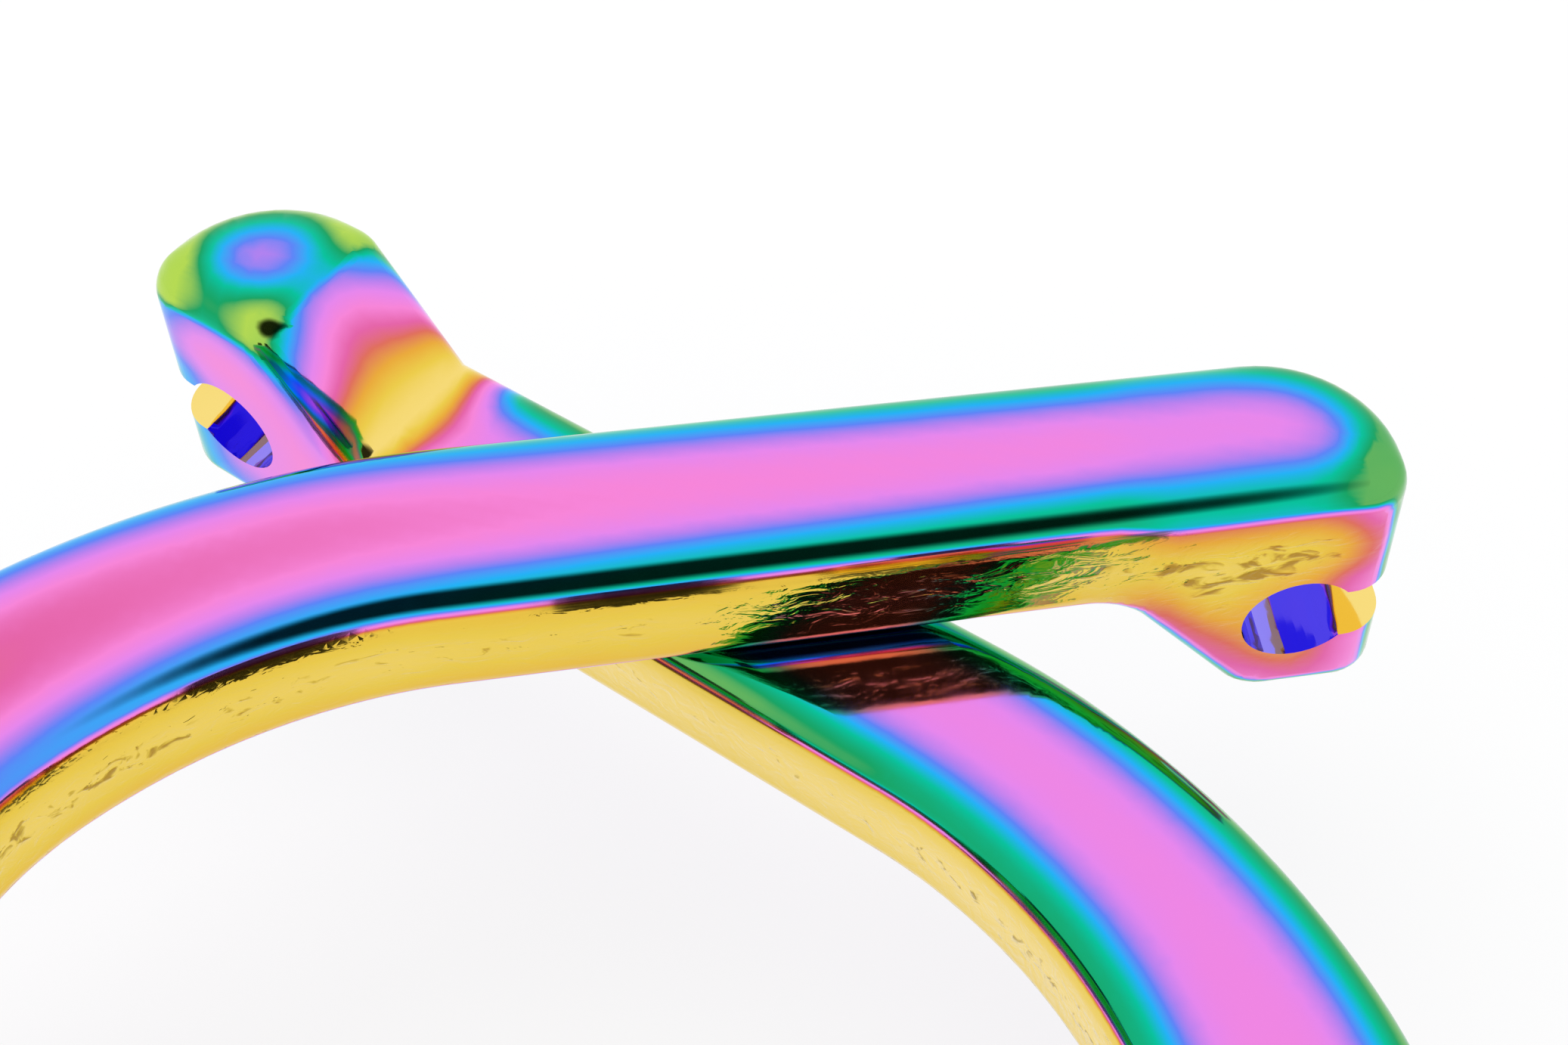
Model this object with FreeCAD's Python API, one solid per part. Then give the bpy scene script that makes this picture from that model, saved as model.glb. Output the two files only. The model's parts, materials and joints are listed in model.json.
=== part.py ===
"""BMX u-brake: two forged arms that cross over the tyre, with their pivots, return springs and pads.

The brake lies on its back. X runs across the wheel, Y points away from the wheel's axle and Z runs
along the two pivots, away from the frame. The origin lies midway between the pivots, on the plane
where the tension adjusters seat on the frame. The left arm crosses in front of the right one.
Every left piece is modelled in place, and the right one is its mirror image, apart from the arms.
"""
import FreeCAD
import Part

import math
import os

from FreeCAD import Vector

# Arm centreline, from the pivot to the cable seat
PIVOT_SPACING = 85.0
RISE = 9.0
LOWER_BEND_R = 29.0
LOWER_BEND_TURN = 35.8
UPPER_BEND_R = 49.3
UPPER_BEND_TURN = 32.86
REACH = 51.8
TIP_LENGTH = 6.0

# Arm section
TIP_WIDTH = 12.0
BEND_WIDTH = 13.2
ROOT_WIDTH = 19.0
WEB = 8.7
ARM_GAP = 0.3
FRONT_EDGE_R = 2.4
BACK_EDGE_R = 1.5
TIP_CORNER_R = 8.6
NOSE_CORNER_R = 2.9

# Cable ears
SEAT_D = 7.2
SEAT_DEPTH = 12.1
SEAT_SLOT = 4.4
EAR_DEPTH = 19.5
EAR_RUN = 11.5
EAR_RAMP = 52.0
EAR_ROOT_R = 5.0
EAR_HEEL_R = 3.5
NECK_RUN = 3.0
HEAD_STEP = 0.3
HEAD_EDGE_R = 2.7

# Pivot hub and the stack on its axis
HUB_D = 22.0
HUB_PROUD = 0.5
HUB_EDGE = 0.8
STUD_D = 9.2
SLEEVE_D = 12.0
BUSH_WALL = 1.0
RUNNING_CLEARANCE = 0.1
SEAT_CLEARANCE = 0.03
END_PLAY = 0.25
FLANGE_FLATS = 20.0
FLANGE_H = 4.0
WASHER_D = 18.0
WASHER_H = 1.6
BOLT_D = 6.0
BOLT_NECK = 4.0
THREAD_D = 5.9
RELIEF_D = 4.7
RELIEF_WIDTH = 1.2
BOLT_HEAD_D = 10.0
BOLT_HEAD_H = 6.0
BOLT_SOCKET = 5.0
BOLT_SOCKET_DEPTH = 3.2
BOLT_LENGTH = 20.0
BOLT_HOLE = 6.4

# Return spring
WIRE_D = 1.8
SPRING_TURNS = 2.5
SPANS_PER_TURN = 4
SPRING_ROOM = 5.3
SPRING_POCKET = 3.0
SPRING_CLEARANCE = 0.2
SPRING_GAP = 0.55
LEG_BEND = 1.2
LEG_OUT = 1.4

# Pad leg below the hub
LEG_THICK = 8.5
LEG_DEPTH = 13.5
LEG_NECK = 17.0
LEG_NECK_R = 8.0
LEG_LENGTH = 37.0
LEG_END_R = 4.0
LEG_EDGE_R = 1.4
LEG_SLOT_LENGTH = 13.5
LEG_SLOT_MARGIN = 3.0

# Pad, post and washers
POST_D = 6.0
POST_CLEARANCE = 0.2
NUT_CLEARANCE = 0.05
HOLDER_H = 2.5
HOLDER_LENGTH = 46.0
HOLDER_WIDTH = 11.0
PAD_LENGTH = 52.0
PAD_WIDTH = 13.0
PAD_THICK = 10.5
PAD_EDGE = 1.2
GROOVE_COUNT = 3
GROOVE_WIDTH = 2.0
GROOVE_DEPTH = 3.0
GROOVE_PITCH = 12.0
BALL_R = 14.0
BALL_GAP = 0.1
CUP_FLOOR = 1.0
INNER_WASHER_D = 16.0
INNER_BALL_H = 3.5
OUTER_WASHER_D = 14.0
OUTER_BALL_H = 2.6
NUT_FLATS = 10.0
NUT_H = 5.2
POST_SPARE = 2.0
SMALL_EDGE = 0.5

# Share of half a slab's width that its end corners take, sides of a hexagon, points on a bend's edge
SLAB_ROUNDING = 0.98
HEX_SIDES = 6
BEND_POINTS = 7

# Run over which an edge's slope is read, and the tilts that tell a face from a side
SLOPE_RUN = 1.0
FACE_TILT = 0.1
SIDE_TILT = 0.01

# Levels along the pivots that follow from the sizes above
HUB_BACK = FLANGE_H + SPRING_ROOM
LOWER_BACK = HUB_BACK + HUB_PROUD
LOWER_FRONT = LOWER_BACK + WEB
UPPER_BACK = LOWER_FRONT + ARM_GAP
UPPER_FRONT = UPPER_BACK + WEB
HUB_FRONT = UPPER_FRONT + HUB_PROUD
SLEEVE_END = HUB_FRONT + END_PLAY
POCKET_FLOOR = HUB_BACK + SPRING_POCKET
MID_LEVEL = (HUB_BACK + HUB_FRONT) / 2
EAR_BOTTOM = UPPER_FRONT - EAR_DEPTH
HEAD_TOP = UPPER_FRONT - HEAD_STEP
SEAT_LEVEL = UPPER_FRONT - SEAT_DEPTH

# Radii and lengths that follow from the sizes above
LOWER_BEND = LOWER_BEND_R * math.radians(LOWER_BEND_TURN)
UPPER_BEND = UPPER_BEND_R * math.radians(UPPER_BEND_TURN)
STRAIGHT_START = RISE + LOWER_BEND + UPPER_BEND
SEAT_STATION = STRAIGHT_START + REACH
TIP_STATION = SEAT_STATION + TIP_LENGTH
CLEAR_OF_ARM = TIP_STATION + HUB_D
LEG_SLOT_TOP = LEG_LENGTH - LEG_SLOT_MARGIN - LEG_SLOT_LENGTH
POST_DROP = LEG_SLOT_TOP + LEG_SLOT_LENGTH / 2
BUSH_BORE = SLEEVE_D / 2 + RUNNING_CLEARANCE
BUSH_R = BUSH_BORE + BUSH_WALL
SPRING_R = SLEEVE_D / 2 + SPRING_GAP + WIRE_D / 2
POCKET_R = SPRING_R + WIRE_D / 2 + SPRING_GAP
PIVOT = Vector(-PIVOT_SPACING / 2, 0, 0)
POST_AXIS = PIVOT + Vector(0, -POST_DROP, MID_LEVEL)

UP = Vector(0, 0, 1)
ACROSS = Vector(1, 0, 0)
SEGMENTS = (
    (RISE, None),
    (LOWER_BEND, LOWER_BEND_R),
    (UPPER_BEND, UPPER_BEND_R),
    (REACH + TIP_LENGTH, None),
)


def along(heading):
    """Unit vector of a heading, in radians from +X."""
    return Vector(math.cos(heading), math.sin(heading), 0)


def outward(heading):
    """Unit vector square to a heading, away from the wheel."""
    return Vector(-math.sin(heading), math.cos(heading), 0)


def centreline(station):
    """Point and heading on the left arm's centreline, a distance along it from the pivot."""
    point, heading, left = PIVOT, math.pi / 2, station
    for length, radius in SEGMENTS:
        step = min(left, length)
        if radius is None:
            point = point + along(heading) * step
        else:
            centre = point - outward(heading) * radius
            heading -= step / radius
            point = centre + outward(heading) * radius
        left -= step
    return point, heading


def half_width(station):
    """Half the arm's width at a station: a slim taper on the straight, a flare towards the hub."""
    taper = (BEND_WIDTH - TIP_WIDTH) / REACH
    behind = max(0.0, STRAIGHT_START - station)
    flare = (ROOT_WIDTH - BEND_WIDTH - taper * STRAIGHT_START) / STRAIGHT_START ** 2
    return (BEND_WIDTH + taper * (STRAIGHT_START - station) + flare * behind ** 2) / 2


def edge_point(station, side):
    """Point on the arm's outer (+1) or inner (-1) edge."""
    point, heading = centreline(station)
    return point + outward(heading) * side * half_width(station)


def edge_heading(station, side):
    """Direction of the arm's edge on a straight run, with its taper or flare."""
    step = half_width(station + SLOPE_RUN) - half_width(station)
    heading = centreline(station)[1]
    return along(heading) * SLOPE_RUN + outward(heading) * side * step


def bend_edge(side):
    """Smooth edge from the hub to the start of the straight run."""
    stations = [STRAIGHT_START * i / BEND_POINTS for i in range(BEND_POINTS + 1)]
    points = [edge_point(station, side) for station in stations]
    curve = Part.BSplineCurve()
    curve.interpolate(
        Points=points,
        InitialTangent=edge_heading(0.0, side),
        FinalTangent=edge_heading(STRAIGHT_START, side),
    )
    return curve.toShape()


def corner_arc(before, corner, after, radius):
    """Start, arc edge and end of the rounding of a corner between two points."""
    back = (before - corner).normalize()
    ahead = (after - corner).normalize()
    half = back.getAngle(ahead) / 2
    start = corner + back * radius / math.tan(half)
    end = corner + ahead * radius / math.tan(half)
    middle = corner + (back + ahead).normalize() * (radius / math.sin(half) - radius)
    return start, Part.Arc(start, middle, end).toShape(), end


def tangent_arc(start, corner, end):
    """Arc edge between two points that lie equally far from the corner of their tangents."""
    half = (start - corner).getAngle(end - corner) / 2
    return corner_arc(start, corner, end, (start - corner).Length * math.tan(half))[1]


def rounded_wire(corners):
    """Closed wire of straight runs from (point, radius) pairs, with tangent arcs at the corners."""
    edges, ends = [], []
    count = len(corners)
    for i, (point, radius) in enumerate(corners):
        start = end = point
        if radius:
            start, arc, end = corner_arc(corners[i - 1][0], point, corners[(i + 1) % count][0], radius)
            edges.append(arc)
        ends.append((start, end))
    for i in range(count):
        edges.append(Part.makeLine(ends[i][1], ends[(i + 1) % count][0]))
    return Part.Wire(Part.__sortEdges__(edges))


def plan_blank(low, high, end_station, rounded):
    """Prism of the arm's plan from the hub to an end station, with a rounded or a plain end."""
    inner_start, outer_start = edge_point(STRAIGHT_START, -1), edge_point(STRAIGHT_START, 1)
    inner_end, outer_end = edge_point(end_station, -1), edge_point(end_station, 1)
    edges = [bend_edge(-1), bend_edge(1), Part.makeLine(edge_point(0.0, -1), edge_point(0.0, 1))]
    if rounded:
        tip_r = min(TIP_CORNER_R, 2 * half_width(end_station) - NOSE_CORNER_R - SMALL_EDGE)
        nose = corner_arc(inner_start, inner_end, outer_end, NOSE_CORNER_R)
        tip = corner_arc(inner_end, outer_end, outer_start, tip_r)
        edges += [Part.makeLine(inner_start, nose[0]), nose[1], Part.makeLine(nose[2], tip[0])]
        edges += [tip[1], Part.makeLine(tip[2], outer_start)]
    else:
        edges += [Part.makeLine(inner_start, inner_end), Part.makeLine(inner_end, outer_end)]
        edges += [Part.makeLine(outer_end, outer_start)]
    wire = Part.Wire(Part.__sortEdges__(edges))
    wire.translate(UP * low)
    return Part.Face(wire).extrude(UP * (high - low))


def side_prism(corners):
    """Prism square to the arm's straight run, from (distance past the seat, level, radius) corners."""
    seat, heading = centreline(SEAT_STATION)
    start = -outward(heading) * CLEAR_OF_ARM
    wire = rounded_wire(
        [(seat + along(heading) * d + UP * level + start, radius) for d, level, radius in corners]
    )
    return Part.Face(wire).extrude(outward(heading) * 2 * CLEAR_OF_ARM)


def cut_seat(arm):
    """Bore the cable seat through the ear and open it to the tip."""
    seat, heading = centreline(SEAT_STATION)
    centre = seat + UP * SEAT_LEVEL
    start = centre - outward(heading) * TIP_WIDTH
    bore = Part.makeCylinder(SEAT_D / 2, 2 * TIP_WIDTH, start, outward(heading))
    slot = side_prism([
        (0.0, SEAT_LEVEL - SEAT_SLOT / 2, 0),
        (2 * TIP_LENGTH, SEAT_LEVEL - SEAT_SLOT / 2, 0),
        (2 * TIP_LENGTH, SEAT_LEVEL + SEAT_SLOT / 2, 0),
        (0.0, SEAT_LEVEL + SEAT_SLOT / 2, 0),
    ])
    return arm.cut(bore).cut(slot)


def tilt(face):
    """How far a face looks up, from -1 for straight down to +1 for straight up."""
    u0, u1, v0, v1 = face.ParameterRange
    return face.normalAt((u0 + u1) / 2, (v0 + v1) / 2).z


def past_seat(point):
    """How far a point lies past the cable seat, along the arm's straight run."""
    seat, heading = centreline(SEAT_STATION)
    return (point - seat).dot(along(heading))


def plain_end(edge):
    """Whether an edge runs square across the arm, short of its tip."""
    ends = [past_seat(vertex.Point) for vertex in edge.Vertexes]
    return max(ends) < 0 and max(ends) - min(ends) < SMALL_EDGE / 2


def rim_edges(shape, sign):
    """Edges between the arm's sides and its faces that look up (+1) or down (-1), not at plain ends."""
    found = []
    for edge in shape.Edges:
        if edge.BoundBox.YMax < RISE / 2 or plain_end(edge):
            continue
        tilts = [tilt(face) * sign for face in shape.ancestorsOfType(edge, Part.Face)]
        if max(tilts) > FACE_TILT and min(abs(value) for value in tilts) < SIDE_TILT:
            found.append(edge)
    return found


def ridge_edges(shape):
    """Edges across the arm between two faces that both look up."""
    found = []
    for edge in shape.Edges:
        tilts = [tilt(face) for face in shape.ancestorsOfType(edge, Part.Face)]
        if min(tilts) > FACE_TILT:
            found.append(edge)
    return found


def front_arm():
    """Left arm without its hub: a web in the upper layer, and an ear that drops at its end."""
    ramp = EAR_RUN - (EAR_DEPTH - WEB) / math.tan(math.radians(EAR_RAMP))
    blank = plan_blank(EAR_BOTTOM, UPPER_FRONT, TIP_STATION, True)
    keep = side_prism([
        (-CLEAR_OF_ARM, UPPER_FRONT + WEB, 0),
        (2 * TIP_LENGTH, UPPER_FRONT + WEB, 0),
        (2 * TIP_LENGTH, EAR_BOTTOM, 0),
        (-ramp, EAR_BOTTOM, EAR_HEEL_R),
        (-EAR_RUN, UPPER_BACK, EAR_ROOT_R),
        (-CLEAR_OF_ARM, UPPER_BACK, 0),
    ])
    arm = blank.common(keep).removeSplitter()
    arm = arm.makeFillet(FRONT_EDGE_R, rim_edges(arm, 1))
    arm = arm.makeFillet(BACK_EDGE_R, rim_edges(arm, -1))
    return cut_seat(arm)


def back_arm():
    """Right arm without its hub, as seen in a mirror: a web in the lower layer, and a raised head."""
    slope = math.tan(math.radians(EAR_RAMP))
    ridge = EAR_RUN - (HEAD_TOP - LOWER_FRONT) / slope
    sunk = WEB / 2
    foot = LOWER_BACK - EAR_BOTTOM
    web = plan_blank(LOWER_BACK, LOWER_FRONT, SEAT_STATION - SEAT_D, False)
    web = web.makeFillet(FRONT_EDGE_R, rim_edges(web, 1))
    web = web.makeFillet(BACK_EDGE_R, rim_edges(web, -1))
    keep = side_prism([
        (-EAR_RUN - sunk / slope, LOWER_FRONT - sunk, 0),
        (-ridge, HEAD_TOP, 0),
        (2 * TIP_LENGTH, HEAD_TOP, 0),
        (2 * TIP_LENGTH, EAR_BOTTOM, 0),
        (-EAR_RUN + foot, EAR_BOTTOM, 0),
        (-EAR_RUN - sunk / slope, LOWER_BACK + sunk / 2, 0),
    ])
    head = plan_blank(EAR_BOTTOM, HEAD_TOP, TIP_STATION, True).common(keep).removeSplitter()
    head = head.makeFillet(HEAD_EDGE_R, rim_edges(head, 1) + ridge_edges(head))
    head = head.makeFillet(BACK_EDGE_R, rim_edges(head, -1))
    return cut_seat(web.fuse(head))


def chamfered_cylinder(radius, height, chamfer, both=True):
    """Upright cylinder with chamfered rims."""
    body = Part.makeCylinder(radius, height)
    rims = [e for e in body.Edges if isinstance(e.Curve, Part.Circle)]
    if not both:
        rims = [e for e in rims if e.BoundBox.ZMin > height / 2]
    return body.makeChamfer(chamfer, rims)


def hex_corner(flats):
    """Radius of a hexagon's corners from its width across the flats."""
    return flats / 2 / math.cos(math.pi / HEX_SIDES)


def hexagon(flats, height):
    """Plain hexagonal prism on the origin."""
    corner = hex_corner(flats)
    points = [along(2 * math.pi * i / HEX_SIDES) * corner for i in range(HEX_SIDES + 1)]
    return Part.Face(Part.makePolygon(points)).extrude(UP * height)


def turned_hexagon(flats, height, chamfer):
    """Hexagonal prism with its corners turned off at both ends."""
    return hexagon(flats, height).common(chamfered_cylinder(hex_corner(flats), height, chamfer))


def pad_leg():
    """Leg below the hub that carries the pad post, without its slot."""
    half, root = LEG_THICK / 2, HUB_D / 2 - HUB_EDGE
    wire = rounded_wire([
        (Vector(-root, 0, 0), 0),
        (Vector(-half, -LEG_NECK, 0), LEG_NECK_R),
        (Vector(-half, -LEG_LENGTH, 0), LEG_END_R),
        (Vector(half, -LEG_LENGTH, 0), LEG_END_R),
        (Vector(half, -LEG_NECK, 0), LEG_NECK_R),
        (Vector(root, 0, 0), 0),
    ])
    wire.translate(PIVOT + UP * (MID_LEVEL - LEG_DEPTH / 2))
    leg = Part.Face(wire).extrude(UP * LEG_DEPTH)
    rims = [e for e in leg.Edges if e.BoundBox.ZLength < SMALL_EDGE and e.BoundBox.YMin < -SMALL_EDGE]
    return leg.makeFillet(LEG_EDGE_R, rims)


def leg_slot():
    """Long hole across the leg, in which the pad post is set for height."""
    radius = POST_D / 2 + POST_CLEARANCE
    top = PIVOT + Vector(-HUB_D / 2, -LEG_SLOT_TOP - radius, MID_LEVEL)
    run = LEG_SLOT_LENGTH - 2 * radius
    ends = [Part.makeCylinder(radius, HUB_D, top - Vector(0, drop, 0), ACROSS) for drop in (0, run)]
    middle = Part.makeBox(HUB_D, run, 2 * radius, top + Vector(0, -run, -radius))
    return ends[0].fuse([ends[1], middle])


def bar_and_head(arm):
    """An arm as two solids that meet face to face at its neck: a flat bar, and the head with the seat."""
    neck = -EAR_RUN - NECK_RUN
    beyond = side_prism([
        (neck, HUB_FRONT + WEB, 0),
        (2 * TIP_LENGTH, HUB_FRONT + WEB, 0),
        (2 * TIP_LENGTH, EAR_BOTTOM - WEB, 0),
        (neck, EAR_BOTTOM - WEB, 0),
    ])
    return Part.makeCompound([arm.cut(beyond).Solids[0], arm.common(beyond).Solids[0]])


def finish_arm(arm):
    """Add the hub and the pad leg to an arm, and bore and slot them."""
    hub = chamfered_cylinder(HUB_D / 2, HUB_FRONT - HUB_BACK, HUB_EDGE)
    hub.translate(PIVOT + UP * HUB_BACK)
    bore = Part.makeCylinder(BUSH_R + SEAT_CLEARANCE, HUB_FRONT, PIVOT)
    pocket = Part.makeCylinder(POCKET_R, POCKET_FLOOR, PIVOT)
    notch_width = WIRE_D + 2 * SPRING_CLEARANCE
    corner = PIVOT + Vector(-HUB_D, -LEG_BEND - notch_width / 2, 0)
    notch = Part.makeBox(HUB_D, notch_width, POCKET_FLOOR, corner)
    whole = arm.fuse([hub, pad_leg()]).removeSplitter()
    whole = whole.cut(bore).cut(pocket).cut(notch).cut(leg_slot())
    return bar_and_head(whole)


def pivot_bush():
    """Bearing bush in the hub, from the spring pocket to the hub's front."""
    tube = Part.makeCylinder(BUSH_R, HUB_FRONT - POCKET_FLOOR, PIVOT + UP * POCKET_FLOOR)
    return tube.cut(Part.makeCylinder(BUSH_BORE, HUB_FRONT, PIVOT))


def tension_adjuster():
    """Sleeve that the arm turns on, with the hexagon that winds the spring up against the frame."""
    body = turned_hexagon(FLANGE_FLATS, FLANGE_H, SMALL_EDGE)
    body = body.fuse(Part.makeCylinder(SLEEVE_D / 2, SLEEVE_END))
    body = body.cut(Part.makeCylinder(STUD_D / 2, SLEEVE_END))
    hole_at = Vector(SPRING_R, -LEG_BEND, 0)
    body = body.cut(Part.makeCylinder(WIRE_D / 2 + SPRING_CLEARANCE, FLANGE_H, hole_at))
    body.translate(PIVOT)
    return body


def coil_edges(first, rise):
    """Arc pairs that climb round the sleeve, with the coil's end points and directions."""
    spans = round(SPRING_TURNS * SPANS_PER_TURN)
    climb = rise / (2 * math.pi * SPRING_TURNS)
    points, headings = [], []
    for i in range(spans + 1):
        turn = 2 * math.pi * i / SPANS_PER_TURN
        points.append(along(turn) * SPRING_R + UP * (first + climb * turn))
        headings.append((outward(turn) * SPRING_R + UP * climb).normalize())
    edges = []
    for i in range(spans):
        edges += arc_pair(points[i], headings[i], points[i + 1], headings[i + 1])
    return edges, (points[0], headings[0]), (points[-1], headings[-1])


def arc_pair(start, leave, end, arrive):
    """Two arcs that join two points with given directions, tangent to each other where they meet."""
    gap, both = end - start, leave + arrive
    bend = 2 * (1 - leave.dot(arrive))
    reach = (math.sqrt(gap.dot(both) ** 2 + bend * gap.dot(gap)) - gap.dot(both)) / bend
    middle = (start + end + (leave - arrive) * reach) * 0.5
    first = tangent_arc(start, start + leave * reach, middle)
    return [first, tangent_arc(middle, end - arrive * reach, end)]


def return_spring():
    """Torsion spring round the sleeve: one leg down into the adjuster, one out through the hub's notch."""
    first = FLANGE_H + SPRING_CLEARANCE + WIRE_D / 2
    rise = POCKET_FLOOR - SPRING_CLEARANCE - WIRE_D / 2 - first
    edges, (start, leave), (end, arrive) = coil_edges(first, rise)
    down_corner, out_corner = start - leave * LEG_BEND, end + arrive * LEG_BEND
    down, out = down_corner - UP * LEG_BEND, out_corner - ACROSS * LEG_BEND
    foot = Vector(down.x, down.y, SMALL_EDGE)
    tail = Vector(-HUB_D / 2 - LEG_OUT, out.y, out.z)
    path = [Part.makeLine(foot, down), tangent_arc(down, down_corner, start)] + edges
    path += [tangent_arc(end, out_corner, out), Part.makeLine(out, tail)]
    section = Part.Face(Part.Wire(Part.makeCircle(WIRE_D / 2, foot, UP)))
    spring = Part.Wire(path).makePipe(section)
    spring.translate(PIVOT)
    return spring


def pivot_washer():
    """Washer that keeps the arm on its sleeve."""
    washer = chamfered_cylinder(WASHER_D / 2, WASHER_H, SMALL_EDGE / 2)
    washer = washer.cut(Part.makeCylinder(BOLT_HOLE / 2, WASHER_H))
    washer.translate(PIVOT + UP * SLEEVE_END)
    return washer


def pivot_bolt():
    """Socket-head bolt that clamps the washer, the sleeve and the adjuster to the frame."""
    head = chamfered_cylinder(BOLT_HEAD_D / 2, BOLT_HEAD_H, SMALL_EDGE, both=False)
    socket = hexagon(BOLT_SOCKET, BOLT_SOCKET_DEPTH)
    socket.translate(UP * (BOLT_HEAD_H - BOLT_SOCKET_DEPTH))
    head = head.cut(socket)
    neck = Part.makeCylinder(BOLT_D / 2, BOLT_NECK)
    relief = Part.makeCylinder(RELIEF_D / 2, BOLT_NECK + RELIEF_WIDTH)
    threaded = BOLT_LENGTH + WASHER_H - BOLT_NECK - RELIEF_WIDTH
    thread = chamfered_cylinder(THREAD_D / 2, threaded, SMALL_EDGE, both=False)
    thread.translate(UP * (BOLT_NECK + RELIEF_WIDTH))
    shank = neck.fuse([relief, thread])
    shank.rotate(Vector(), ACROSS, 180)
    bolt = head.fuse(shank)
    bolt.translate(PIVOT + UP * (SLEEVE_END + WASHER_H))
    return bolt


def stand_on_post(shape, distance):
    """Turn a piece modelled along +Z to the post's axis, its base a distance out from the pivot plane."""
    shape.rotate(Vector(), Vector(0, 1, 0), -90)
    shape.translate(POST_AXIS - ACROSS * distance)
    return shape


def ball_washer(diameter, height):
    """Washer with a domed face on top."""
    washer = Part.makeCylinder(diameter / 2, height)
    dome = Part.makeSphere(BALL_R, Vector(0, 0, height - BALL_R))
    washer = washer.common(dome)
    return washer.cut(Part.makeCylinder(POST_D / 2 + POST_CLEARANCE, height))


def cup_washer(diameter):
    """Washer with a hollow face below that takes a domed one, and a flat face on top."""
    sag = BALL_R - math.sqrt(BALL_R ** 2 - diameter ** 2 / 4)
    washer = Part.makeCylinder(diameter / 2, sag + CUP_FLOOR)
    ball = Part.makeSphere(BALL_R + BALL_GAP, Vector(0, 0, sag - BALL_R - BALL_GAP))
    washer = washer.cut(ball)
    return washer.cut(Part.makeCylinder(POST_D / 2 + POST_CLEARANCE, sag + CUP_FLOOR))


def slab(length, width, thick):
    """Slab along X with round ends, standing on the origin."""
    radius = width / 2
    run = length / 2
    corner = radius * SLAB_ROUNDING
    wire = rounded_wire([
        (Vector(-run, -radius, 0), corner),
        (Vector(run, -radius, 0), corner),
        (Vector(run, radius, 0), corner),
        (Vector(-run, radius, 0), corner),
    ])
    return Part.Face(wire).extrude(UP * thick)


def pad_pieces():
    """Pad, post, washers and nut on the leg, by name, from the wheel's side outwards."""
    leg_face = -LEG_THICK / 2
    inner_sag = BALL_R - math.sqrt(BALL_R ** 2 - INNER_WASHER_D ** 2 / 4)
    outer_sag = BALL_R - math.sqrt(BALL_R ** 2 - OUTER_WASHER_D ** 2 / 4)
    holder_back = leg_face - CUP_FLOOR - BALL_GAP - INNER_BALL_H
    nut_base = -leg_face + CUP_FLOOR + BALL_GAP + OUTER_BALL_H
    holder = slab(HOLDER_LENGTH, HOLDER_WIDTH, HOLDER_H)
    post = chamfered_cylinder(POST_D / 2, nut_base + NUT_H + POST_SPARE - holder_back, SMALL_EDGE)
    post.translate(UP * HOLDER_H)
    holder = holder.fuse(post)
    rubber = slab(PAD_LENGTH, PAD_WIDTH, PAD_THICK)
    rubber = rubber.makeChamfer(PAD_EDGE, [e for e in rubber.Edges if e.BoundBox.ZMax < PAD_EDGE])
    for i in range(GROOVE_COUNT):
        at = (i - (GROOVE_COUNT - 1) / 2) * GROOVE_PITCH - GROOVE_WIDTH / 2
        groove = Part.makeBox(GROOVE_WIDTH, 2 * PAD_WIDTH, GROOVE_DEPTH, Vector(at, -PAD_WIDTH, 0))
        rubber = rubber.cut(groove)
    nut = turned_hexagon(NUT_FLATS, NUT_H, SMALL_EDGE)
    nut = nut.cut(Part.makeCylinder(POST_D / 2 + NUT_CLEARANCE, NUT_H))
    inner_cup_base = leg_face - CUP_FLOOR - inner_sag
    outer_cup = cup_washer(OUTER_WASHER_D)
    outer_ball = ball_washer(OUTER_WASHER_D, OUTER_BALL_H)
    for piece in (outer_cup, outer_ball):
        piece.rotate(Vector(), ACROSS, 180)
    return {
        "pad_rubber": stand_on_post(rubber, holder_back - HOLDER_H - PAD_THICK),
        "pad_holder": stand_on_post(holder, holder_back - HOLDER_H),
        "inner_ball_washer": stand_on_post(ball_washer(INNER_WASHER_D, INNER_BALL_H), holder_back),
        "inner_cup_washer": stand_on_post(cup_washer(INNER_WASHER_D), inner_cup_base),
        "outer_cup_washer": stand_on_post(outer_cup, -leg_face + CUP_FLOOR + outer_sag),
        "outer_ball_washer": stand_on_post(outer_ball, nut_base),
        "pad_nut": stand_on_post(nut, nut_base),
    }


def mirrored(shape):
    """Right-hand copy of a left-hand piece."""
    return shape.mirror(Vector(), ACROSS)


def main():
    """Build every piece and write one file for each."""
    pieces = {
        "pivot_bush": pivot_bush(),
        "tension_adjuster": tension_adjuster(),
        "return_spring": return_spring(),
        "pivot_washer": pivot_washer(),
        "pivot_bolt": pivot_bolt(),
    }
    pieces.update(pad_pieces())
    solids = {"left_arm": finish_arm(front_arm()), "right_arm": mirrored(finish_arm(back_arm()))}
    for name, shape in pieces.items():
        solids["left_" + name] = shape
        solids["right_" + name] = mirrored(shape)
    os.makedirs("parts", exist_ok=True)
    for name, shape in sorted(solids.items()):
        print(name, shape.ShapeType, len(shape.Solids), shape.isValid(), round(shape.Volume, 1))
        shape.exportStep(os.path.join("parts", name + ".step"))


main()
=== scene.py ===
"""Studio picture of the u-brake: film-coloured mirror arms, steel hardware and rubber pads."""

import colorsys
import json
import logging
import math
from dataclasses import dataclass
from enum import Enum
from typing import Iterable, Sequence

import bmesh
import bpy
from mathutils import Color, Matrix, Vector
from mathutils.kdtree import KDTree

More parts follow.
